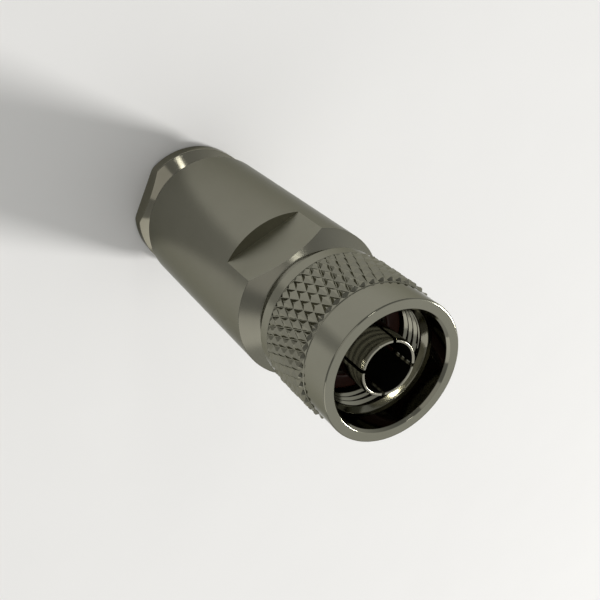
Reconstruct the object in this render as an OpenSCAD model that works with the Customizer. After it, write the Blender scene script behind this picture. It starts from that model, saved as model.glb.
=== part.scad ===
// Coaxial cable plug of the threaded, clamp-fitted kind.
// It stands on its clamp nut, with the mating end up and its axis along +Z.
// All sizes are in millimetres.

/* [Coupling nut] */
// outside diameter of the smooth front band
nut_d = 20.0; // [19.4:0.1:20.4]
// outside diameter of the smooth band behind the knurl
nut_rear_d = 20.3; // [19.8:0.1:20.4]
// length of the nut
nut_len = 16.4; // [16:0.1:16.8]
// diameter over the tips of the knurl
knurl_d = 21.0; // [20.8:0.1:21.6]
// depth of the knurl's grooves
knurl_depth = 0.42; // [0.3:0.02:0.5]
// diamonds around the knurl
knurl_count = 47; // [40:1:56]
// length of half a diamond along the knurl
knurl_half = 1.77; // [1.5:0.01:2]
// front face to the start of the knurl
knurl_set = 4.9; // [4.5:0.1:5.2]
// length of the knurled barrel
knurl_len = 9.3; // [8.8:0.1:9.5]
// diameter of the smooth mouth
mouth_d = 16.56; // [16.3:0.02:16.8]
// depth of the smooth mouth
mouth_depth = 3.9; // [3.4:0.1:4.2]
// bore over the crests of the coupling thread
thread_bore_d = 14.9; // [14.8:0.02:15]
// length of the threaded bore, lead-in included
thread_len = 5.0; // [4.6:0.1:5.2]

/* [Mating end] */
// outside diameter of the slotted outer contact
contact_d = 8.14; // [8.08:0.01:8.2]
// wall of the slotted outer contact
contact_wall = 0.55; // [0.5:0.01:0.6]
// nut face down to the tips of the outer contact
contact_set = 1.08; // [0.6:0.02:1.6]
// slots in the outer contact
slot_count = 4; // [3:1:6]
// width of each slot
slot_w = 0.5; // [0.3:0.05:0.8]
// length of each slot
slot_len = 6.5; // [5:0.1:7.5]
// tips of the outer contact down to the seat of the mating gasket
seat_depth = 9.3; // [9.1:0.05:9.5]
// thickness of the mating gasket
gasket_t = 1.3; // [1:0.1:1.5]
// diameter of the centre pin at its tip
pin_d = 1.6; // [1.5:0.01:1.7]
// length of the thin front of the centre pin
pin_len = 4.3; // [3.9:0.1:4.6]
// diameter of the centre pin behind its shoulder
pin_body_d = 3.04; // [2.9:0.02:3.1]
// way the centre pin still has to its working place
pin_travel = 9.8; // [9:0.1:10]

/* [Shell] */
// outside diameter of the shell
shell_d = 22.7; // [22.2:0.1:23]
// length of the shell's round barrel
shell_len = 33.9; // [33:0.1:35]
// diameter of the neck behind the coupling nut
neck_d = 17.8; // [17.4:0.1:18.2]
// width across the shell's two spanner flats
shell_flats = 19.0; // [18.6:0.1:19.4]
// length of the shell's spanner flats on the barrel
shell_flat_len = 6.5; // [5.5:0.1:7]
// wall of the shell at the cable end, over the crests of its thread
shell_wall = 1.73; // [1.6:0.01:1.9]

/* [Clamp nut] */
// reach of the clamp nut's flange past its thread
flange_over = 1.45; // [1.2:0.05:1.6]
// length of the flange's round rim
flange_len = 2.3; // [2:0.1:2.6]
// depth of each of the flange's two spanner flats
flange_flat = 1.1; // [0.8:0.05:1.3]
// turn of the flange's flats from the shell's flats, in degrees
flange_turn = 40.2; // [0:0.2:90]
// gap that the clamp nut still leaves behind the shell
clamp_gap = 5.5; // [5.2:0.1:5.8]
// depth of the clamp nut's plain neck under its thread
clamp_neck = 0.55; // [0.4:0.05:0.7]
// wall of the clamp nut between its thread and the cable
clamp_wall = 1.75; // [1.6:0.05:1.9]
// length of the clamp nut
clamp_len = 15.0; // [14:0.1:16]

/* [Cable end] */
// thickness of the slip washer
washer_t = 0.8; // [0.6:0.05:1]
// length of the cable gasket
rubber_len = 5.0; // [4.5:0.1:5.5]
// length of the braid clamp's flange
grip_len = 2.6; // [2.3:0.1:2.9]
// length of the braid clamp's cone
cone_len = 3.4; // [3:0.1:3.8]

/* [Inside] */
// diameter of the outer contact's collar
collar_d = 11.0; // [10.6:0.1:11.4]
// length of the outer contact's collar
collar_len = 1.8; // [1.5:0.1:2.1]
// gasket seat down to the shelf that holds the collar
shelf_depth = 4.0; // [3.6:0.1:4.4]
// length of the insulator behind the collar
insulator_len = 4.0; // [3.6:0.1:4.4]
// outside diameter of the retaining bush
bush_d = 14.2; // [13.8:0.1:14.6]
// space for the retaining bush
bush_len = 11.0; // [10.4:0.1:11.6]
// bore of the retaining bush
bush_bore_d = 11.8; // [11.4:0.1:12.2]
// opening of the lip that holds the insulator
lip_d = 9.2; // [8.8:0.1:9.6]
// thickness of that lip
lip_t = 2.5; // [2.2:0.1:2.8]
// diameter of the centre pin's solder cup
cup_d = 5.8; // [5.4:0.1:6]
// length of the centre pin's solder cup
cup_len = 8.5; // [8:0.1:9]

/* [Fits] */
// gap on the radius between parts that turn or slide in each other
run_gap = 0.07; // [0.04:0.01:0.1]
// gap on the radius between parts that are held in each other
hold_gap = 0.05; // [0.03:0.01:0.08]

/* [Hidden] */
$fn = 96;
eps = 0.01;
clamp_h = clamp_len;
barrel_z = flange_len + clamp_gap;
nose_z = barrel_z + shell_len;
neck_z = nose_z + 3.4;
nut_z = neck_z + 0.5;
top_z = nut_z + nut_len;
tip_z = top_z - contact_set;
seat_z = tip_z - seat_depth;
nut_bore_r = thread_bore_d / 2 + 0.11;
spigot_r = nut_bore_r - run_gap;
thread_end_z = top_z - mouth_depth - thread_len;
ring_z = nut_z + 1.6;
ring_w = 1.0;
contact_r = contact_d / 2;
contact_bore_r = contact_r - contact_wall;
root_r = contact_r + 0.23;
shelf_z = seat_z - shelf_depth;
collar_r = collar_d / 2;
collar_h = collar_len;
insulator_z = shelf_z - collar_h - insulator_len;
bush_r = bush_d / 2;
bush_bore_r = bush_bore_d / 2;
lip_r = lip_d / 2;
bush_z = insulator_z - bush_len;
cup_r = cup_d / 2;
rear_bore_r = shell_d / 2 - shell_wall;
clamp_thread_r = rear_bore_r - run_gap;
clamp_neck_r = clamp_thread_r - clamp_neck;
flange_r = clamp_thread_r + flange_over;
flat_r = flange_r - flange_flat;
cable_r = clamp_thread_r - clamp_wall;
washer_bore_r = cable_r + 0.4;
rubber_bore_r = cable_r - 0.4;
braid_bore_r = cable_r - 0.5;
rubber_z = clamp_h + washer_t;
grip_z = rubber_z + rubber_len;
grip_r = rear_bore_r - 0.3;
ridge_r = cable_r + 0.75;
pin_tip_z = tip_z - 1.0 - pin_travel;
knurl_low_z = top_z - knurl_set - knurl_len;
knurl_high_z = top_z - knurl_set;
knurl_rows = ceil(knurl_len / knurl_half - 0.01);
knurl_bevel = 0.1;

// how far a column of the knurl stands up at height z: 0 in a groove, 1 on a tip
function knurl_rise(i, z) =
    let (t = (z - knurl_low_z) / knurl_half + i,
         m = t - 2 * floor(t / 2))
    1 - abs(m - 1);

// one point of the knurl: grooves and tips take turns along and around
function knurl_point(i, j) =
    let (z = j == knurl_rows ? knurl_high_z : knurl_low_z + j * knurl_half,
         top = knurl_d / 2 - ((j == 0 || j == knurl_rows) ? knurl_bevel : 0),
         r = min(knurl_d / 2 - knurl_depth + knurl_depth * knurl_rise(i, z), top),
         t = 180 * i / knurl_count)
    [r * cos(t), r * sin(t), z];

function core_point(i, z) =
    let (r = knurl_d / 2 - knurl_depth - 0.5, t = 180 * i / knurl_count)
    [r * cos(t), r * sin(t), z];

module knurl_ring() {
    n = 2 * knurl_count;
    m = knurl_rows + 1;
    low = knurl_low_z;
    high = knurl_high_z;
    pts = concat(
        [for (j = [0 : knurl_rows]) for (i = [0 : n - 1]) knurl_point(i, j)],
        [for (i = [0 : n - 1]) core_point(i, low)],
        [for (i = [0 : n - 1]) core_point(i, high)]);
    outer = [for (j = [0 : knurl_rows - 1]) for (i = [0 : n - 1])
        let (k = (i + 1) % n,
             a = j * n + i, b = j * n + k,
             c = (j + 1) * n + k, d = (j + 1) * n + i)
        for (f = (i + j) % 2 == 0
            ? [[a, c, b], [a, d, c]]
            : [[a, d, b], [b, d, c]]) f];
    inner = [for (i = [0 : n - 1])
        let (k = (i + 1) % n, a = m * n + i, b = m * n + k)
        for (f = [[a, b, b + n], [a, b + n, a + n]]) f];
    bottom = [for (i = [0 : n - 1])
        let (k = (i + 1) % n)
        for (f = [[i, k, m * n + k], [i, m * n + k, m * n + i]]) f];
    top = [for (i = [0 : n - 1])
        let (k = (i + 1) % n, a = knurl_rows * n)
        for (f = [[a + k, a + i, (m + 1) * n + i], [a + k, (m + 1) * n + i, (m + 1) * n + k]]) f];
    polyhedron(points = pts, faces = concat(outer, inner, bottom, top), convexity = 4);
}

module coupling_nut() {
    front_r = nut_d / 2;
    rear_r = nut_rear_d / 2;
    root_r = knurl_d / 2 - knurl_depth - 0.2;
    low = knurl_low_z;
    high = knurl_high_z;
    mouth_r = mouth_d / 2;
    crest_r = thread_bore_d / 2;
    color([0.72, 0.71, 0.66]) {
        union() {
            difference() {
                rotate_extrude()
                    polygon([
                        [nut_bore_r, nut_z],
                        [rear_r - 0.4, nut_z],
                        [rear_r, nut_z + 0.4],
                        [rear_r, low],
                        [root_r, low],
                        [root_r, high],
                        [front_r, high],
                        [front_r, top_z - 0.15],
                        [front_r - 0.15, top_z],
                        [mouth_r + 0.36, top_z],
                        [mouth_r, top_z - 0.4],
                        [mouth_r, top_z - mouth_depth + 0.5],
                        [mouth_r - 0.2, top_z - mouth_depth],
                        [crest_r, top_z - mouth_depth - 0.9],
                        [crest_r, thread_end_z],
                        [crest_r + 0.65, thread_end_z - 0.4],
                        [crest_r + 0.65, seat_z - 0.6],
                        [nut_bore_r, seat_z - 1.1]
                    ]);
                translate([0, 0, ring_z - 0.05])
                    cylinder(r = spigot_r + 0.75, h = ring_w + 0.1);
            }
            knurl_ring();
        }
    }
}

module snap_ring() {
    color([0.62, 0.55, 0.38])
        difference() {
            translate([0, 0, ring_z])
                cylinder(r = spigot_r + 0.5, h = ring_w);
            translate([0, 0, ring_z - 1])
                cylinder(r = spigot_r - 0.45, h = ring_w + 2);
            translate([0, -0.9, ring_z - 1])
                cube([spigot_r + 2, 1.8, ring_w + 2]);
        }
}

module mating_gasket() {
    color([0.55, 0.16, 0.10])
        rotate_extrude()
            polygon([
                [contact_r + 1.2, seat_z],
                [spigot_r - 0.15, seat_z],
                [spigot_r - 0.15, seat_z + gasket_t - 0.15],
                [spigot_r - 0.3, seat_z + gasket_t],
                [contact_r + 1.35, seat_z + gasket_t],
                [contact_r + 1.2, seat_z + gasket_t - 0.15]
            ]);
}

module shell() {
    r = shell_d / 2;
    bore_r = rear_bore_r;
    cone_z = grip_z + grip_len + cone_len + 0.7;
    groove_r = spigot_r - 0.7;
    color([0.72, 0.71, 0.66])
        difference() {
            rotate_extrude()
                polygon([
                    [bore_r, barrel_z],
                    [r - 0.2, barrel_z],
                    [r, barrel_z + 0.2],
                    [r, nose_z],
                    [neck_d / 2, nose_z + 1.8],
                    [neck_d / 2, neck_z - 0.2],
                    [neck_d / 2 - 0.2, neck_z],
                    [spigot_r, neck_z],
                    [spigot_r, ring_z - 0.05],
                    [groove_r, ring_z - 0.05],
                    [groove_r, ring_z + ring_w + 0.05],
                    [spigot_r, ring_z + ring_w + 0.05],
                    [spigot_r, seat_z - 0.3],
                    [spigot_r - 0.3, seat_z],
                    [root_r + hold_gap, seat_z],
                    [root_r + hold_gap, shelf_z],
                    [collar_r + hold_gap, shelf_z],
                    [collar_r + hold_gap, insulator_z],
                    [bush_r + hold_gap, insulator_z],
                    [bush_r + hold_gap, bush_z],
                    [bore_r, cone_z],
                    [bore_r, barrel_z]
                ]);
            for (s = [-1, 1])
                translate([-2 * r, s > 0 ? shell_flats / 2 : -shell_flats / 2 - r, nose_z - shell_flat_len])
                    cube([4 * r, r, shell_flat_len + 3]);
        }
}

module outer_contact() {
    color([0.74, 0.71, 0.62])
        difference() {
            rotate_extrude()
                polygon([
                    [contact_bore_r, shelf_z - collar_h],
                    [collar_r, shelf_z - collar_h],
                    [collar_r, shelf_z],
                    [root_r, shelf_z],
                    [root_r, seat_z + gasket_t - 0.3],
                    [contact_r, seat_z + gasket_t],
                    [contact_r, tip_z - 0.35],
                    [contact_r - 0.2, tip_z],
                    [contact_bore_r + 0.08, tip_z],
                    [contact_bore_r, tip_z - 0.1]
                ]);
            for (k = [0 : slot_count - 1])
                rotate([0, 0, -35 + 360 * k / slot_count])
                    translate([1, -slot_w / 2, tip_z - slot_len])
                        cube([contact_r + 1, slot_w, slot_len + 1]);
        }
}

module insulator() {
    color([0.93, 0.93, 0.90])
        rotate_extrude()
            polygon([
                [pin_body_d / 2 + run_gap, insulator_z],
                [collar_r, insulator_z],
                [collar_r, shelf_z - collar_h],
                [contact_bore_r - hold_gap, shelf_z - collar_h],
                [contact_bore_r - hold_gap, seat_z - 1.2],
                [contact_bore_r - hold_gap - 0.3, seat_z - 0.9],
                [pin_body_d / 2 + run_gap, seat_z - 0.9]
            ]);
}

module retaining_bush() {
    color([0.70, 0.58, 0.30])
        rotate_extrude()
            polygon([
                [bush_bore_r, bush_z + 0.3],
                [bush_r - 0.3, bush_z + 0.3],
                [bush_r, bush_z + 0.6],
                [bush_r, insulator_z],
                [lip_r, insulator_z],
                [lip_r, insulator_z - lip_t],
                [bush_bore_r, insulator_z - lip_t - 1.1]
            ]);
}

module centre_pin() {
    r = pin_d / 2;
    br = pin_body_d / 2;
    sz = pin_tip_z - pin_len;
    cz = insulator_z - pin_travel;
    color([0.80, 0.66, 0.36])
        difference() {
            rotate_extrude()
                polygon([
                    [0, cz - cup_len],
                    [cup_r, cz - cup_len],
                    [cup_r, cz - 0.3],
                    [cup_r - 0.3, cz],
                    [br, cz],
                    [br, sz - 0.2],
                    [br - 0.2, sz],
                    [r, sz],
                    [r, pin_tip_z - 0.9],
                    [0.3, pin_tip_z],
                    [0, pin_tip_z]
                ]);
            translate([0, 0, cz - cup_len - 1])
                cylinder(r = cup_r - 0.55, h = cup_len - 0.5);
            translate([0, 0, cz - 3])
                rotate([0, 90, 0])
                    cylinder(r = 0.7, h = cup_r + 2);
        }
}

module braid_clamp() {
    color([0.70, 0.58, 0.30])
        rotate_extrude()
            polygon([
                [braid_bore_r, grip_z],
                [ridge_r - 0.35, grip_z],
                [ridge_r, grip_z - 0.7],
                [ridge_r + 0.35, grip_z],
                [grip_r, grip_z],
                [grip_r, grip_z + grip_len],
                [grip_r - 2.4, grip_z + grip_len + cone_len],
                [grip_r - 2.92, grip_z + grip_len + cone_len],
                [grip_r - 2.92, grip_z + 2.2],
                [braid_bore_r, grip_z + 1.2]
            ]);
}

module cable_gasket() {
    color([0.13, 0.13, 0.13])
        rotate_extrude()
            polygon([
                [rubber_bore_r, rubber_z],
                [grip_r, rubber_z],
                [grip_r, grip_z],
                [ridge_r + 0.35, grip_z],
                [ridge_r, grip_z - 0.7],
                [ridge_r - 0.35, grip_z],
                [rubber_bore_r, grip_z]
            ]);
}

module slip_washer() {
    color([0.70, 0.58, 0.30])
        rotate_extrude()
            polygon([
                [washer_bore_r, clamp_h],
                [grip_r, clamp_h],
                [grip_r, rubber_z],
                [washer_bore_r, rubber_z]
            ]);
}

module clamp_nut() {
    r = flange_r;
    neck = clamp_neck_r;
    cone = (r - neck) * 0.64;
    thread_z = barrel_z + 1.0;
    color([0.72, 0.71, 0.66])
        difference() {
            rotate_extrude()
                polygon([
                    [cable_r + 0.5, 0],
                    [r - 0.3, 0],
                    [r, 0.3],
                    [r, flange_len],
                    [neck, flange_len + cone],
                    [neck, thread_z - 0.5],
                    [clamp_thread_r, thread_z],
                    [clamp_thread_r, clamp_h - 0.4],
                    [clamp_thread_r - 0.4, clamp_h],
                    [cable_r, clamp_h],
                    [cable_r, 0.5]
                ]);
            rotate([0, 0, flange_turn])
                for (s = [-1, 1])
                    translate([-2 * r, s > 0 ? flat_r : -flat_r - r, -1])
                        cube([4 * r, r, flange_len + cone + 1.5]);
        }
}

coupling_nut();
snap_ring();
mating_gasket();
shell();
outer_contact();
insulator();
retaining_bush();
centre_pin();
braid_clamp();
cable_gasket();
slip_washer();
clamp_nut();
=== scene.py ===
import math

import bmesh
import bpy
from mathutils import Matrix, Vector


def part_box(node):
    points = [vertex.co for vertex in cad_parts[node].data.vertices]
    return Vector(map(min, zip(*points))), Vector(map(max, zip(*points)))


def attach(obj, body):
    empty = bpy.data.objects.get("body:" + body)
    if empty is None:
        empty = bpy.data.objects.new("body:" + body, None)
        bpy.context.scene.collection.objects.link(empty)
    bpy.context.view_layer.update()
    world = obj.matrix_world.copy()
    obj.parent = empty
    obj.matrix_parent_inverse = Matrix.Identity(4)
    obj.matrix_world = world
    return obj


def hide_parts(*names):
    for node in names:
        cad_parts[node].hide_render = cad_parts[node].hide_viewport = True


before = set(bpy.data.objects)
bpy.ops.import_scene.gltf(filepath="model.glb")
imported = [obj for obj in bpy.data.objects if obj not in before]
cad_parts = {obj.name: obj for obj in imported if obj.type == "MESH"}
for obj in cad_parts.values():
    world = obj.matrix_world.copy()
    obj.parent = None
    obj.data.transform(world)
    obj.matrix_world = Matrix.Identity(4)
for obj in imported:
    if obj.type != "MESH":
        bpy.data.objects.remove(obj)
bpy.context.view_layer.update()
MM = 0.001


# ---------------------------------------------------------------- sizes
# heights and radii in millimetres, read from the solids' own boxes
nut_low, nut_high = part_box("coupling_nut")
shell_low, shell_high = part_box("shell")
_, contact_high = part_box("outer_contact")
gasket_low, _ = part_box("mating_gasket")
_, clamp_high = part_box("clamp_nut")

TOP = nut_high.z / MM
NUT_Z = nut_low.z / MM
KNURL_R = nut_high.x / MM
TIP_Z = contact_high.z / MM
BARREL_Z = shell_low.z / MM
BARREL_R = shell_high.x / MM
BARREL_LENGTH = 33.9
NOSE_Z = BARREL_Z + BARREL_LENGTH
SEAT_Z = gasket_low.z / MM
CLAMP_TOP = clamp_high.z / MM
RING_LOW = NUT_Z + 1.55
RING_HIGH = NUT_Z + 2.65


# ---------------------------------------------------------------- mesh tools
CORNER_SHARE = 0.3
CORNER_STEPS = (0.0, 0.35, 0.65, 1.0)
HOLD = 1.35
NEARLY_STRAIGHT = math.radians(172)
SAME_SPOT = 1e-6
CUTTER_DEPTH = 6


def eased(outline, radius):
    """Round each corner of a closed outline and hold the straight runs beside it."""
    out = []
    n = len(outline)
    for k in range(n):
        before, here, after = (Vector(outline[(k + d) % n]) for d in (-1, 0, 1))
        a, b = before - here, after - here
        if a.length < SAME_SPOT or b.length < SAME_SPOT:
            continue
        r = min(radius, a.length * CORNER_SHARE, b.length * CORNER_SHARE)
        a.normalize()
        b.normalize()
        if a.angle(b) > NEARLY_STRAIGHT:
            out.append(here)
            continue
        out.append(here + a * r * HOLD)
        for t in CORNER_STEPS:
            out.append(here + a * r * (1 - t) ** 2 + b * r * t ** 2)
        out.append(here + b * r * HOLD)
    return out


def lathe(name, outline, ease=0.08, segments=192):
    """Turn a closed outline of (radius, height) points in millimetres into a ring."""
    points = eased(outline, ease)
    area = sum(p.x * q.y - q.x * p.y for p, q in zip(points, points[1:] + points[:1]))
    if area < 0:
        points.reverse()
    verts, faces, n = [], [], len(points)
    for s in range(segments):
        t = 2 * math.pi * s / segments
        verts += [(p.x * math.cos(t) * MM, p.x * math.sin(t) * MM, p.y * MM) for p in points]
    for s in range(segments):
        a, b = s * n, (s + 1) % segments * n
        faces += [(a + k, b + k, b + (k + 1) % n, a + (k + 1) % n) for k in range(n)]
    mesh = bpy.data.meshes.new(name)
    mesh.from_pydata(verts, [], faces)
    piece = bpy.data.objects.new(name, mesh)
    bpy.context.scene.collection.objects.link(piece)
    return piece


def block(size, centre, turn):
    """A box in millimetres, turned about the axis, used only to cut."""
    mesh = bpy.data.meshes.new("cutter")
    made = bmesh.new()
    bmesh.ops.create_cube(made, size=1.0)
    place = Matrix.Rotation(turn, 4, "Z") @ Matrix.Translation(Vector(centre) * MM)
    scale = Matrix.Diagonal((size[0] * MM, size[1] * MM, size[2] * MM, 1))
    made.transform(place @ scale)
    made.to_mesh(mesh)
    made.free()
    cutter = bpy.data.objects.new("cutter", mesh)
    bpy.context.scene.collection.objects.link(cutter)
    return cutter


def settle(piece):
    """Put what the modifiers make into the mesh itself and drop them."""
    bpy.context.view_layer.update()
    seen = piece.evaluated_get(bpy.context.evaluated_depsgraph_get())
    mesh = bpy.data.meshes.new_from_object(seen)
    piece.modifiers.clear()
    old = piece.data
    piece.data = mesh
    bpy.data.meshes.remove(old)
    return piece


def cut(piece, cutters):
    """Take the cutters out of a piece and clear them away."""
    for cutter in cutters:
        step = piece.modifiers.new("cut", "BOOLEAN")
        step.operation = "DIFFERENCE"
        step.solver = "EXACT"
        step.object = cutter
    settle(piece)
    for cutter in cutters:
        bpy.data.objects.remove(cutter)
    return piece


def trim(piece, low, high, ease, drop):
    """Cut a piece off square at two heights, close the cuts and chamfer what stands beside them."""
    made = bmesh.new()
    made.from_mesh(piece.data)
    for height, side in ((low, -1), (high, 1)):
        for offset, clear in ((0.0, True), (ease, False)):
            every = made.verts[:] + made.edges[:] + made.faces[:]
            level = (height - side * offset) * MM
            bmesh.ops.bisect_plane(made, geom=every, dist=1e-7, plane_co=(0, 0, level),
                                   plane_no=(0, 0, side), clear_outer=clear)
        rim = [e for e in made.edges
               if e.is_boundary and all(abs(v.co.z - height * MM) < SAME_SPOT for v in e.verts)]
        bmesh.ops.holes_fill(made, edges=rim, sides=0)
    top = max(math.hypot(v.co.x, v.co.y) for v in made.verts)
    for vert in made.verts:
        inset = min(vert.co.z / MM - low, high - vert.co.z / MM)
        limit = top - max(0.0, 1 - inset / ease) * drop * MM
        reach = math.hypot(vert.co.x, vert.co.y)
        if reach > limit:
            vert.co.x *= limit / reach
            vert.co.y *= limit / reach
    bmesh.ops.recalc_face_normals(made, faces=made.faces[:])
    made.to_mesh(piece.data)
    made.free()
    return piece


def smooth(piece, degrees=40):
    """Shade smooth, with a crease wherever two faces meet at more than the angle."""
    mesh = piece.data
    made = bmesh.new()
    made.from_mesh(mesh)
    limit = math.radians(degrees)
    for edge in made.edges:
        edge.smooth = len(edge.link_faces) != 2 or edge.calc_face_angle(0) < limit
    for face in made.faces:
        face.smooth = True
    made.to_mesh(mesh)
    made.free()
    return piece


def join(name, pieces):
    """One mesh from several pieces that stay rigid together."""
    made = bmesh.new()
    materials = []
    for piece in pieces:
        start = len(made.faces)
        made.from_mesh(piece.data)
        made.faces.ensure_lookup_table()
        for face in made.faces[start:]:
            slot = piece.data.materials[face.material_index] if piece.data.materials else None
            if slot not in materials:
                materials.append(slot)
            face.material_index = materials.index(slot)
    mesh = bpy.data.meshes.new(name)
    made.to_mesh(mesh)
    made.free()
    for material in materials:
        mesh.materials.append(material)
    whole = bpy.data.objects.new(name, mesh)
    bpy.context.scene.collection.objects.link(whole)
    for piece in pieces:
        bpy.data.objects.remove(piece)
    return whole


# ---------------------------------------------------------------- node tools
def put(tree, kind, **values):
    """A node with its settings, and with plain values or links on its inputs."""
    inputs = values.pop("inputs", {})
    node = tree.nodes.new(kind)
    for key, value in values.items():
        setattr(node, key, value)
    for key, value in inputs.items():
        socket = node.inputs[key]
        if isinstance(value, bpy.types.NodeSocket):
            tree.links.new(value, socket)
        else:
            socket.default_value = value
    return node


def maths(tree, operation, *args):
    """One step of arithmetic on numbers or links, and the link that it gives."""
    node = put(tree, "ShaderNodeMath", operation=operation)
    for socket, value in zip(node.inputs, args):
        if isinstance(value, bpy.types.NodeSocket):
            tree.links.new(value, socket)
        else:
            socket.default_value = value
    return node.outputs[0]


def tree_with(kind, name, inputs, outputs):
    """A new node tree with its named inputs and outputs."""
    tree = bpy.data.node_groups.new(name, kind)
    for label, socket_type, default in inputs:
        socket = tree.interface.new_socket(label, in_out="INPUT", socket_type=socket_type)
        if default is not None:
            socket.default_value = default
    for label, socket_type in outputs:
        tree.interface.new_socket(label, in_out="OUTPUT", socket_type=socket_type)
    return tree, tree.nodes.new("NodeGroupInput").outputs, tree.nodes.new("NodeGroupOutput").inputs


def grow(name, tree, values):
    """A piece made whole by a geometry tree, with its named inputs set."""
    piece = bpy.data.objects.new(name, bpy.data.meshes.new(name))
    bpy.context.scene.collection.objects.link(piece)
    step = piece.modifiers.new(name, "NODES")
    step.node_group = tree
    for item in tree.interface.items_tree:
        if item.item_type == "SOCKET" and item.in_out == "INPUT" and item.name in values:
            step[item.identifier] = values[item.name]
    return settle(piece)


# ---------------------------------------------------------------- finishes
EFFECT_OUTPUTS = [
    ("Color", "NodeSocketColor"), ("Roughness", "NodeSocketFloat"), ("Normal", "NodeSocketVector")]
RING_BUMP = 0.00002
GRAIN_BUMP = 0.00003
MOULD_CLOUD_SCALE = 400.0
MOULD_GLOSS_CHANGE = 0.15
METAL_EDGE_TINT = (0.45, 0.45, 0.42, 1)


def turned_group():
    """Fine rings left by turning, and a cloudy change of gloss from handling."""
    tree, given, made = tree_with(
        "ShaderNodeTree", "turned finish",
        [("Ring scale", "NodeSocketFloat", 9000.0), ("Ring depth", "NodeSocketFloat", 0.1),
         ("Gloss", "NodeSocketFloat", 0.28), ("Gloss change", "NodeSocketFloat", 0.08),
         ("Cloud scale", "NodeSocketFloat", 140.0), ("Tone", "NodeSocketColor", (0.5, 0.5, 0.5, 1)),
         ("Stain", "NodeSocketColor", (0.4, 0.36, 0.3, 1)), ("Stain share", "NodeSocketFloat", 0.2)],
        EFFECT_OUTPUTS)
    place = put(tree, "ShaderNodeTexCoord").outputs["Object"]
    xyz = put(tree, "ShaderNodeSeparateXYZ", inputs={0: place}).outputs
    flat = put(tree, "ShaderNodeCombineXYZ", inputs={0: xyz[0], 1: xyz[1]}).outputs[0]
    radius = put(tree, "ShaderNodeVectorMath", operation="LENGTH", inputs={0: flat}).outputs["Value"]
    ring = put(tree, "ShaderNodeCombineXYZ", inputs={0: radius, 1: xyz[2]}).outputs[0]
    lines = put(tree, "ShaderNodeTexNoise", inputs={
        "Vector": ring, "Scale": given["Ring scale"], "Detail": 2.0, "Roughness": 0.6}).outputs[0]
    cloud = put(tree, "ShaderNodeTexNoise", inputs={
        "Vector": place, "Scale": given["Cloud scale"], "Detail": 4.0, "Roughness": 0.55}).outputs[0]
    swing = maths(tree, "MULTIPLY", maths(tree, "SUBTRACT", cloud, 0.5), given["Gloss change"])
    fine = maths(tree, "MULTIPLY", maths(tree, "SUBTRACT", lines, 0.5), given["Gloss change"])
    rough = maths(tree, "ADD", maths(tree, "ADD", given["Gloss"], swing), fine)
    share = put(tree, "ShaderNodeMapRange",
                inputs={0: cloud, 1: 0.45, 2: 0.7, 3: 0.0, 4: given["Stain share"]}).outputs[0]
    tone = put(tree, "ShaderNodeMix", data_type="RGBA",
               inputs={0: share, 6: given["Tone"], 7: given["Stain"]}).outputs[2]
    bump = put(tree, "ShaderNodeBump", inputs={
        "Strength": given["Ring depth"], "Distance": RING_BUMP, "Height": lines}).outputs[0]
    tree.links.new(tone, made["Color"])
    tree.links.new(rough, made["Roughness"])
    tree.links.new(bump, made["Normal"])
    return tree


def moulded_group():
    """The faint pebble and tone change of a moulded or sawn soft piece."""
    tree, given, made = tree_with(
        "ShaderNodeTree", "moulded finish",
        [("Grain scale", "NodeSocketFloat", 2500.0), ("Grain depth", "NodeSocketFloat", 0.2),
         ("Gloss", "NodeSocketFloat", 0.5), ("Tone", "NodeSocketColor", (0.5, 0.5, 0.5, 1)),
         ("Second tone", "NodeSocketColor", (0.4, 0.4, 0.4, 1))],
        EFFECT_OUTPUTS)
    place = put(tree, "ShaderNodeTexCoord").outputs["Object"]
    grain = put(tree, "ShaderNodeTexNoise",
                inputs={"Vector": place, "Scale": given["Grain scale"], "Detail": 3.0}).outputs[0]
    cloud = put(tree, "ShaderNodeTexNoise",
                inputs={"Vector": place, "Scale": MOULD_CLOUD_SCALE}).outputs[0]
    tone = put(tree, "ShaderNodeMix", data_type="RGBA",
               inputs={0: cloud, 6: given["Tone"], 7: given["Second tone"]}).outputs[2]
    swing = maths(tree, "MULTIPLY", maths(tree, "SUBTRACT", grain, 0.5), MOULD_GLOSS_CHANGE)
    rough = maths(tree, "ADD", given["Gloss"], swing)
    bump = put(tree, "ShaderNodeBump", inputs={
        "Strength": given["Grain depth"], "Distance": GRAIN_BUMP, "Height": grain}).outputs[0]
    tree.links.new(tone, made["Color"])
    tree.links.new(rough, made["Roughness"])
    tree.links.new(bump, made["Normal"])
    return tree


def finish(name, group, values, metallic, **sockets):
    """A material whose colour, gloss and surface come from one of the shared effects."""
    material = bpy.data.materials.new(name)
    material.use_nodes = True
    tree = material.node_tree
    shader = tree.nodes["Principled BSDF"]
    shader.inputs["Metallic"].default_value = metallic
    if metallic:
        shader.inputs["Specular Tint"].default_value = METAL_EDGE_TINT
    for key, value in sockets.items():
        shader.inputs[key.replace("_", " ")].default_value = value
    effect = put(tree, "ShaderNodeGroup", node_tree=group, inputs=values).outputs
    tree.links.new(effect["Color"], shader.inputs["Base Color"])
    tree.links.new(effect["Roughness"], shader.inputs["Roughness"])
    tree.links.new(effect["Normal"], shader.inputs["Normal"])
    return material


turned = turned_group()
moulded = moulded_group()

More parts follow.
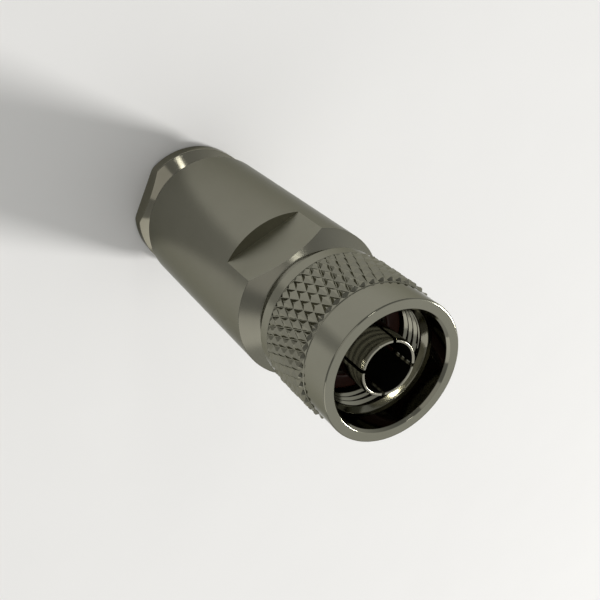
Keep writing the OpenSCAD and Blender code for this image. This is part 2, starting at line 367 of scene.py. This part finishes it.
nickel_nut = finish("nickel nut", turned, {
    "Tone": (0.26, 0.256, 0.208, 1), "Stain": (0.20, 0.19, 0.145, 1), "Stain share": 0.25,
    "Gloss": 0.09, "Gloss change": 0.07, "Ring depth": 0.08}, 1.0)
nickel_shell = finish("nickel shell", turned, {
    "Tone": (0.245, 0.24, 0.197, 1), "Stain": (0.21, 0.205, 0.165, 1), "Stain share": 0.3,
    "Gloss": 0.24, "Gloss change": 0.08, "Ring depth": 0.05}, 1.0)
milled_nickel = finish("milled nickel", turned, {
    "Tone": (0.27, 0.265, 0.215, 1), "Stain": (0.235, 0.23, 0.18, 1), "Stain share": 0.3,
    "Gloss": 0.42, "Gloss change": 0.08, "Ring depth": 0.05}, 1.0)
nickel_clamp = finish("nickel clamp", turned, {
    "Tone": (0.30, 0.29, 0.235, 1), "Stain": (0.21, 0.195, 0.145, 1), "Stain share": 0.3,
    "Gloss": 0.09, "Gloss change": 0.06, "Ring depth": 0.08}, 1.0)
nickel_contact = finish("nickel contact", turned, {
    "Tone": (0.33, 0.32, 0.265, 1), "Stain": (0.21, 0.19, 0.15, 1), "Stain share": 0.2,
    "Gloss": 0.14, "Gloss change": 0.06, "Ring depth": 0.05}, 1.0)
# painted shade: a near-black tone stands in for the shade deep inside the contact sleeve's bore
painted_shade_bore = finish("bore painted dark for shade", turned, {
    "Tone": (0.03, 0.029, 0.025, 1), "Stain": (0.02, 0.019, 0.016, 1), "Stain share": 0.5,
    "Gloss": 0.5, "Gloss change": 0.1, "Ring depth": 0.1}, 1.0)
plain_brass = finish("turned brass", turned, {
    "Tone": (0.68, 0.50, 0.20, 1), "Stain": (0.50, 0.34, 0.14, 1), "Stain share": 0.4,
    "Gloss": 0.25, "Gloss change": 0.12, "Ring depth": 0.15, "Ring scale": 6000.0}, 1.0)
gold_pin = finish("gilt pin", turned, {
    "Tone": (0.80, 0.56, 0.20, 1), "Stain": (0.66, 0.44, 0.18, 1), "Stain share": 0.2,
    "Gloss": 0.16, "Gloss change": 0.05, "Ring depth": 0.05}, 1.0)
spring_bronze = finish("spring bronze", turned, {
    "Tone": (0.52, 0.36, 0.18, 1), "Stain": (0.35, 0.24, 0.13, 1), "Stain share": 0.5,
    "Gloss": 0.3, "Gloss change": 0.1, "Ring depth": 0.1}, 1.0)
red_silicone = finish("red silicone", moulded, {
    "Tone": (0.05, 0.014, 0.009, 1), "Second tone": (0.035, 0.010, 0.006, 1),
    "Gloss": 0.42, "Grain depth": 0.15}, 0.0)
white_ptfe = finish("white fluoroplastic", moulded, {
    "Tone": (0.82, 0.82, 0.79, 1), "Second tone": (0.74, 0.74, 0.70, 1),
    "Gloss": 0.45, "Grain depth": 0.1}, 0.0, Subsurface_Weight=0.15, Subsurface_Scale=0.001)
black_rubber = finish("black rubber", moulded, {
    "Tone": (0.022, 0.022, 0.022, 1), "Second tone": (0.035, 0.034, 0.032, 1),
    "Gloss": 0.6, "Grain depth": 0.3}, 0.0)


# ---------------------------------------------------------------- knurl and threads
def knurl_tree():
    """Rows of truncated pyramids set around a barrel, each row shifted by half a diamond."""
    tree, given, made = tree_with(
        "GeometryNodeTree", "diamond knurl",
        [("Diamonds around", "NodeSocketInt", 47), ("Rows", "NodeSocketInt", 7),
         ("Tip radius", "NodeSocketFloat", 0.0105), ("Groove depth", "NodeSocketFloat", 0.00042),
         ("Half diamond", "NodeSocketFloat", 0.00177), ("Base height", "NodeSocketFloat", 0.0478),
         ("Flat share", "NodeSocketFloat", 0.2), ("Material", "NodeSocketMaterial", None)],
        [("Geometry", "NodeSocketGeometry")])
    around, rise = given["Diamonds around"], given["Half diamond"]
    count = maths(tree, "MULTIPLY", around, given["Rows"])
    points = put(tree, "GeometryNodePoints", inputs={"Count": count}).outputs[0]
    index = put(tree, "GeometryNodeInputIndex").outputs[0]
    row = maths(tree, "FLOOR", maths(tree, "DIVIDE", maths(tree, "ADD", index, 0.5), around))
    shift = maths(tree, "MULTIPLY", maths(tree, "MODULO", maths(tree, "ADD", row, 1), 2), 0.5)
    step = maths(tree, "DIVIDE", 2 * math.pi, around)
    angle = maths(tree, "MULTIPLY", maths(tree, "ADD", index, shift), step)
    root = maths(tree, "SUBTRACT", given["Tip radius"], given["Groove depth"])
    height = maths(tree, "ADD", given["Base height"], maths(tree, "MULTIPLY", row, rise))
    spot = put(tree, "ShaderNodeCombineXYZ", inputs={
        0: maths(tree, "MULTIPLY", root, maths(tree, "COSINE", angle)),
        1: maths(tree, "MULTIPLY", root, maths(tree, "SINE", angle)), 2: height}).outputs[0]
    points = put(tree, "GeometryNodeSetPosition",
                 inputs={"Geometry": points, "Position": spot}).outputs[0]
    tile = put(tree, "GeometryNodeMeshCone", inputs={
        "Vertices": 4, "Radius Top": given["Flat share"], "Radius Bottom": 1.0, "Depth": 1.0}).outputs[0]
    half = maths(tree, "MULTIPLY", root, maths(tree, "TANGENT", maths(tree, "MULTIPLY", step, 0.5)))
    size = put(tree, "ShaderNodeCombineXYZ",
               inputs={0: half, 1: rise, 2: given["Groove depth"]}).outputs[0]
    turn = put(tree, "ShaderNodeCombineXYZ",
               inputs={0: math.pi / 2, 2: maths(tree, "ADD", angle, math.pi / 2)}).outputs[0]
    turn = put(tree, "FunctionNodeEulerToRotation", inputs={0: turn}).outputs[0]
    tiles = put(tree, "GeometryNodeInstanceOnPoints", inputs={
        "Points": points, "Instance": tile, "Rotation": turn, "Scale": size}).outputs[0]
    real = put(tree, "GeometryNodeRealizeInstances", inputs={0: tiles}).outputs[0]
    coat = put(tree, "GeometryNodeSetMaterial",
               inputs={"Geometry": real, "Material": given["Material"]}).outputs[0]
    tree.links.new(coat, made["Geometry"])
    return tree


def thread_tree():
    """A screw thread: one trapezium swept along a helix."""
    tree, given, made = tree_with(
        "GeometryNodeTree", "screw thread",
        [("Pitch", "NodeSocketFloat", 0.001), ("Turns", "NodeSocketFloat", 4.0),
         ("Mid radius", "NodeSocketFloat", 0.0077), ("Height", "NodeSocketFloat", 0.0005),
         ("Inner width", "NodeSocketFloat", 0.0003), ("Outer width", "NodeSocketFloat", 0.0008),
         ("Base height", "NodeSocketFloat", 0.0), ("Material", "NodeSocketMaterial", None)],
        [("Geometry", "NodeSocketGeometry")])
    rise = maths(tree, "MULTIPLY", given["Pitch"], given["Turns"])
    helix = put(tree, "GeometryNodeCurveSpiral", inputs={
        "Resolution": 96, "Rotations": given["Turns"], "Start Radius": given["Mid radius"],
        "End Radius": given["Mid radius"], "Height": rise, "Reverse": False}).outputs[0]
    helix = put(tree, "GeometryNodeSetCurveNormal", mode="Z_UP", inputs={0: helix}).outputs[0]
    tooth = put(tree, "GeometryNodeCurvePrimitiveQuadrilateral", mode="TRAPEZOID", inputs={
        "Bottom Width": given["Inner width"], "Top Width": given["Outer width"],
        "Height": given["Height"], "Offset": 0.0}).outputs[0]
    tooth = put(tree, "GeometryNodeTransform",
                inputs={"Geometry": tooth, "Rotation": (0, 0, math.pi / 2)}).outputs[0]
    swept = put(tree, "GeometryNodeCurveToMesh",
                inputs={"Curve": helix, "Profile Curve": tooth, "Fill Caps": True}).outputs[0]
    lift = put(tree, "ShaderNodeCombineXYZ", inputs={2: given["Base height"]}).outputs[0]
    swept = put(tree, "GeometryNodeSetPosition",
                inputs={"Geometry": swept, "Offset": lift}).outputs[0]
    real = put(tree, "GeometryNodeRealizeInstances", inputs={0: swept}).outputs[0]
    coat = put(tree, "GeometryNodeSetMaterial",
               inputs={"Geometry": real, "Material": given["Material"]}).outputs[0]
    tree.links.new(coat, made["Geometry"])
    return tree


knurling = knurl_tree()
threading = thread_tree()


# ---------------------------------------------------------------- coupling nut
MOUTH_R = 8.28
CREST_R = 7.45
ROOT_R = 7.93
KNURL_COUNT = 47
KNURL_ROWS = 7
KNURL_DEPTH = 0.42
KNURL_HALF = 1.77
KNURL_FLAT = 0.2
KNURL_EASE = 0.45
KNURL_DROP = 0.41
CORE_R = KNURL_R - KNURL_DEPTH + 0.03
FRONT_BAND_R = 10.0
REAR_BAND_R = 10.15
RING_GROOVE_R = 8.24
RELIEF_R = CREST_R + 0.65
KNURL_LOW = TOP - 14.2
KNURL_HIGH = TOP - 4.9
BORE_R = 7.56
LEAD_Z = TOP - 3.9
THREAD_END = TOP - 8.9

nut_body = lathe("nut body", [
    (BORE_R, NUT_Z), (9.75, NUT_Z), (REAR_BAND_R, NUT_Z + 0.4), (REAR_BAND_R, KNURL_LOW - 0.05),
    (CORE_R, KNURL_LOW), (CORE_R, KNURL_HIGH), (FRONT_BAND_R, KNURL_HIGH + 0.1),
    (FRONT_BAND_R, TOP - 0.15), (9.85, TOP), (MOUTH_R + 0.36, TOP), (MOUTH_R, TOP - 0.4),
    (MOUTH_R, LEAD_Z + 0.5), (MOUTH_R - 0.2, LEAD_Z), (CREST_R, LEAD_Z - 0.8),
    (CREST_R, LEAD_Z - 1.05), (ROOT_R, LEAD_Z - 1.35), (ROOT_R, THREAD_END),
    (RELIEF_R, THREAD_END - 0.4), (RELIEF_R, SEAT_Z - 0.6), (BORE_R, SEAT_Z - 1.1),
    (BORE_R, RING_HIGH), (RING_GROOVE_R, RING_HIGH), (RING_GROOVE_R, RING_LOW),
    (BORE_R, RING_LOW)], ease=0.06)
nut_body.data.materials.append(nickel_nut)
smooth(nut_body)
knurl = grow("knurl", knurling, {
    "Diamonds around": KNURL_COUNT, "Rows": KNURL_ROWS, "Tip radius": (KNURL_R - 0.005) * MM,
    "Groove depth": KNURL_DEPTH * MM, "Half diamond": KNURL_HALF * MM,
    "Base height": KNURL_LOW * MM, "Flat share": KNURL_FLAT, "Material": nickel_nut})
trim(knurl, KNURL_LOW, KNURL_HIGH, KNURL_EASE, KNURL_DROP)
smooth(knurl, 12)
nut_thread = grow("nut thread", threading, {
    "Pitch": 0.001058, "Turns": 3.6, "Mid radius": (CREST_R + ROOT_R) / 2 * MM,
    "Height": (ROOT_R - CREST_R + 0.06) * MM, "Inner width": 0.0002, "Outer width": 0.00095,
    "Base height": (THREAD_END - 0.1) * MM, "Material": nickel_nut})
smooth(nut_thread, 20)
coupling = join("coupling_nut_turned", [nut_body, knurl, nut_thread])
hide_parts("coupling_nut")
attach(coupling, "coupling")


# ---------------------------------------------------------------- shell
NECK_R = 8.9
SPIGOT_R = 7.49
RING_SEAT_R = 6.79
CONTACT_BORE_R = 4.35
BEAD_BORE_R = 5.55
BUSH_BORE_R = 7.15
CLAMP_BORE_R = 9.62
CLAMP_BORE_TOP = 27.5
FLAT_REACH = 9.5
FLAT_LENGTH = 9.5

shell = lathe("shell_turned", [
    (CLAMP_BORE_R, BARREL_Z), (BARREL_R - 0.2, BARREL_Z), (BARREL_R, BARREL_Z + 0.2),
    (BARREL_R, NOSE_Z), (NECK_R, NOSE_Z + 1.8), (NECK_R, NUT_Z - 0.7), (8.7, NUT_Z - 0.5),
    (SPIGOT_R, NUT_Z - 0.5), (SPIGOT_R, RING_LOW), (RING_SEAT_R, RING_LOW),
    (RING_SEAT_R, RING_HIGH), (SPIGOT_R, RING_HIGH), (SPIGOT_R, SEAT_Z - 0.3), (7.19, SEAT_Z),
    (CONTACT_BORE_R, SEAT_Z), (CONTACT_BORE_R, SEAT_Z - 4.0), (BEAD_BORE_R, SEAT_Z - 4.0),
    (BEAD_BORE_R, SEAT_Z - 9.8), (BUSH_BORE_R, SEAT_Z - 9.8), (BUSH_BORE_R, SEAT_Z - 20.8),
    (CLAMP_BORE_R, CLAMP_BORE_TOP)], ease=0.07, segments=256)
flats = [block((30, CUTTER_DEPTH, FLAT_LENGTH),
               (0, side * (FLAT_REACH + CUTTER_DEPTH / 2), NOSE_Z - 6.5 + FLAT_LENGTH / 2), 0)
         for side in (-1, 1)]
cut(shell, flats)
shell.data.materials.clear()
shell.data.materials.append(nickel_shell)
shell.data.materials.append(milled_nickel)
for face in shell.data.polygons:
    if abs(abs(face.center.y) - FLAT_REACH * MM) < 1e-5 and abs(face.normal.y) > 0.99:
        face.material_index = 1
smooth(shell, 30)
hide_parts("shell")
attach(shell, "barrel")


# ---------------------------------------------------------------- outer contact and gasket
SLEEVE_R = 4.07
SLEEVE_BORE_R = 3.52
SLEEVE_ROOT_R = 4.3
COLLAR_R = 5.5
SLOT_WIDTH = 0.5
SLOT_TURN = -35

contact = lathe("outer_contact_slotted", [
    (SLEEVE_BORE_R, SEAT_Z - 5.8), (COLLAR_R, SEAT_Z - 5.8), (COLLAR_R, SEAT_Z - 4.0),
    (SLEEVE_ROOT_R, SEAT_Z - 4.0), (SLEEVE_ROOT_R, SEAT_Z + 1.0), (SLEEVE_R, SEAT_Z + 1.3),
    (SLEEVE_R, TIP_Z - 0.35), (3.87, TIP_Z), (3.6, TIP_Z), (SLEEVE_BORE_R, TIP_Z - 0.1)],
    ease=0.04, segments=160)
slots = [block((4.1, SLOT_WIDTH, 7.5), (3.05, 0, TIP_Z - 2.75), math.radians(SLOT_TURN + 90 * k))
         for k in range(4)]
cut(contact, slots)
contact.data.materials.clear()
contact.data.materials.append(nickel_contact)
contact.data.materials.append(painted_shade_bore)
# faces lining the sleeve's bore take the painted shade
for face in contact.data.polygons:
    reach = math.hypot(face.center.x, face.center.y) / MM
    if reach < SLEEVE_BORE_R + 0.04 and face.center.z < (TIP_Z - 0.3) * MM:
        face.material_index = 1
smooth(contact, 30)
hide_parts("outer_contact")
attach(contact, "barrel")

GASKET_HOLE_R = 5.27
GASKET_R = 7.34
GASKET_THICK = 1.3

gasket = lathe("mating_gasket_ring", [
    (GASKET_HOLE_R, SEAT_Z), (GASKET_R, SEAT_Z), (GASKET_R, SEAT_Z + GASKET_THICK),
    (GASKET_HOLE_R, SEAT_Z + GASKET_THICK)], ease=0.3, segments=128)
gasket.data.materials.append(red_silicone)
smooth(gasket, 60)
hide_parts("mating_gasket")
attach(gasket, "barrel")


# ---------------------------------------------------------------- clamp nut
FLANGE_R = 11.0
STEM_R = 9.0
CABLE_HOLE_R = 7.8
CLAMP_FLAT_REACH = 9.9
CLAMP_FLAT_TURN = 40.2

clamp_body = lathe("clamp body", [
    (8.3, 0), (10.7, 0), (FLANGE_R, 0.3), (FLANGE_R, 2.3), (STEM_R, 3.58),
    (STEM_R, CLAMP_TOP - 0.5), (8.7, CLAMP_TOP), (CABLE_HOLE_R, CLAMP_TOP), (CABLE_HOLE_R, 0.5)],
    ease=0.1, segments=256)
flats = [block((30, CUTTER_DEPTH, 8), (0, side * (CLAMP_FLAT_REACH + CUTTER_DEPTH / 2), 0),
               math.radians(CLAMP_FLAT_TURN)) for side in (-1, 1)]
cut(clamp_body, flats)
clamp_body.data.materials.clear()
clamp_body.data.materials.append(nickel_clamp)
smooth(clamp_body, 30)
clamp_thread = grow("clamp thread", threading, {
    "Pitch": 0.001, "Turns": 5.6, "Mid radius": 0.009265, "Height": 0.00057,
    "Inner width": 0.0009, "Outer width": 0.00018, "Base height": 0.0090,
    "Material": nickel_clamp})
smooth(clamp_thread, 20)
clamp = join("clamp_nut_turned", [clamp_body, clamp_thread])
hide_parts("clamp_nut")
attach(clamp, "clamp")


# ---------------------------------------------------------------- inner pieces
for node, material in (("snap_ring", spring_bronze), ("insulator", white_ptfe),
                       ("retaining_bush", plain_brass), ("centre_pin", gold_pin),
                       ("braid_clamp", plain_brass), ("cable_gasket", black_rubber),
                       ("slip_washer", plain_brass)):
    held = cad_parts[node]
    held.data.materials.clear()
    held.data.materials.append(material)


# ---------------------------------------------------------------- floor, light and camera
# the floor is painted darker beyond a ring round the object: painted shade that the metal mirrors as
# dark surroundings
FLOOR_MIDDLE = (-0.028, 0.085, 0)
FLOOR_SHADE_FADE = (0.12, 0.25)
FLOOR_TONES = ((0.80, 0.80, 0.80, 1), (0.82, 0.82, 0.82, 1))
FLOOR_FAR_PAINTED_SHADE = (0.62, 0.62, 0.62, 1)
FLOOR_HALF = 1.5
SKY_HEADING = (-0.25, 0.79, 0.56)
SKY_RANGE = (-0.1, 0.95)
SKY_LEVELS = (0.24, 0.74)
LAMP_AIM = 0.03
SENSOR = 36.0
FRAME = 600.0
FOCAL = 859.4
ROLL = math.radians(219.8)


def floor_material():
    """A matte pale floor with a faint grain, with painted shade that makes it darker away from the
    object, for the metal to mirror.
    """
    material = bpy.data.materials.new("pale floor")
    material.use_nodes = True
    tree = material.node_tree
    tree.nodes.clear()
    place = put(tree, "ShaderNodeTexCoord").outputs["Object"]
    grain = put(tree, "ShaderNodeTexNoise",
                inputs={"Vector": place, "Scale": 60.0, "Detail": 3.0}).outputs[0]
    tone = put(tree, "ShaderNodeMix", data_type="RGBA",
               inputs={0: grain, 6: FLOOR_TONES[0], 7: FLOOR_TONES[1]}).outputs[2]
    reach = put(tree, "ShaderNodeVectorMath", operation="DISTANCE",
                inputs={0: place, 1: FLOOR_MIDDLE}).outputs["Value"]
    # painted shade: the floor's tone falls to the far tone between these two distances
    fade = put(tree, "ShaderNodeMapRange", interpolation_type="SMOOTHSTEP", inputs={
        0: reach, 1: FLOOR_SHADE_FADE[0], 2: FLOOR_SHADE_FADE[1], 3: 0.0, 4: 1.0}).outputs[0]
    tone = put(tree, "ShaderNodeMix", data_type="RGBA",
               inputs={0: fade, 6: tone, 7: FLOOR_FAR_PAINTED_SHADE}).outputs[2]
    matte = put(tree, "ShaderNodeBsdfDiffuse", inputs={"Color": tone}).outputs[0]
    out = put(tree, "ShaderNodeOutputMaterial")
    tree.links.new(matte, out.inputs["Surface"])
    return material


floor_mesh = bpy.data.meshes.new("floor")
floor_mesh.from_pydata([(x * FLOOR_HALF, y * FLOOR_HALF, 0)
                        for x, y in ((-1, -1), (1, -1), (1, 1), (-1, 1))], [], [(0, 1, 2, 3)])
floor = bpy.data.objects.new("floor", floor_mesh)
bpy.context.scene.collection.objects.link(floor)
floor_mesh.materials.append(floor_material())

world = bpy.data.worlds.new("studio")
bpy.context.scene.world = world
world.use_nodes = True
sky = world.node_tree
heading = put(sky, "ShaderNodeTexCoord").outputs["Generated"]
backdrop = put(sky, "ShaderNodeVectorMath", operation="DOT_PRODUCT",
               inputs={0: heading, 1: SKY_HEADING}).outputs["Value"]
level = put(sky, "ShaderNodeMapRange", interpolation_type="SMOOTHSTEP", inputs={
    0: backdrop, 1: SKY_RANGE[0], 2: SKY_RANGE[1], 3: SKY_LEVELS[0], 4: SKY_LEVELS[1]}).outputs[0]
sky.nodes["Background"].inputs["Color"].default_value = (1.0, 1.0, 0.97, 1)
sky.links.new(level, sky.nodes["Background"].inputs["Strength"])


def softbox(name, azimuth, elevation, distance, size, power, tint):
    """A round soft lamp that looks at the middle of the object from an angle and a distance."""
    lamp = bpy.data.lights.new(name, "AREA")
    lamp.shape = "DISK"
    lamp.size = size
    lamp.energy = power
    lamp.color = tint
    holder = bpy.data.objects.new(name, lamp)
    a, e = math.radians(azimuth), math.radians(elevation)
    spot = Vector((math.cos(a) * math.cos(e), math.sin(a) * math.cos(e), math.sin(e))) * distance
    holder.location = spot + Vector((0, 0, LAMP_AIM))
    holder.rotation_euler = spot.to_track_quat("Z", "Y").to_euler()
    bpy.context.scene.collection.objects.link(holder)


softbox("key", 130, 38, 1.2, 0.24, 10.1, (1.0, 0.985, 0.96))
softbox("side", -118, 50, 0.6, 0.10, 0.12, (1.0, 0.98, 0.92))
softbox("front", -62, 52, 0.6, 0.42, 0.18, (1.0, 0.96, 0.92))
softbox("left", 20, 32, 0.6, 0.40, 0.26, (1.0, 0.97, 0.93))

# the nut's front face seen from the camera: its centre, the axis and two directions square to it
face_centre = Vector((11.52, 8.885, 105.23))
backward = Vector((-0.49077, -0.41315, 0.76711)).normalized()
upward = Vector((0, -1, 0))
upward = (upward - upward.dot(backward) * backward).normalized()
sideward = backward.cross(upward)
axis_x = math.cos(ROLL) * sideward + math.sin(ROLL) * upward
axis_y = -math.sin(ROLL) * sideward + math.cos(ROLL) * upward
axis_z = -backward
into_row = Matrix((axis_x, axis_y, axis_z))
flip = Matrix(((1, 0, 0), (0, -1, 0), (0, 0, -1)))
camera_data = bpy.data.cameras.new("camera")
camera_data.sensor_width = SENSOR
camera_data.lens = SENSOR * FOCAL / FRAME
camera_data.clip_start = 0.005
camera_data.clip_end = 10.0
camera = bpy.data.objects.new("camera", camera_data)
place = Vector((0, 0, nut_high.z)) - (into_row @ face_centre) * MM
camera.matrix_world = Matrix.Translation(place) @ (into_row @ flip).to_4x4()
bpy.context.scene.collection.objects.link(camera)
bpy.context.scene.camera = camera
bpy.context.scene.view_settings.view_transform = "Standard"
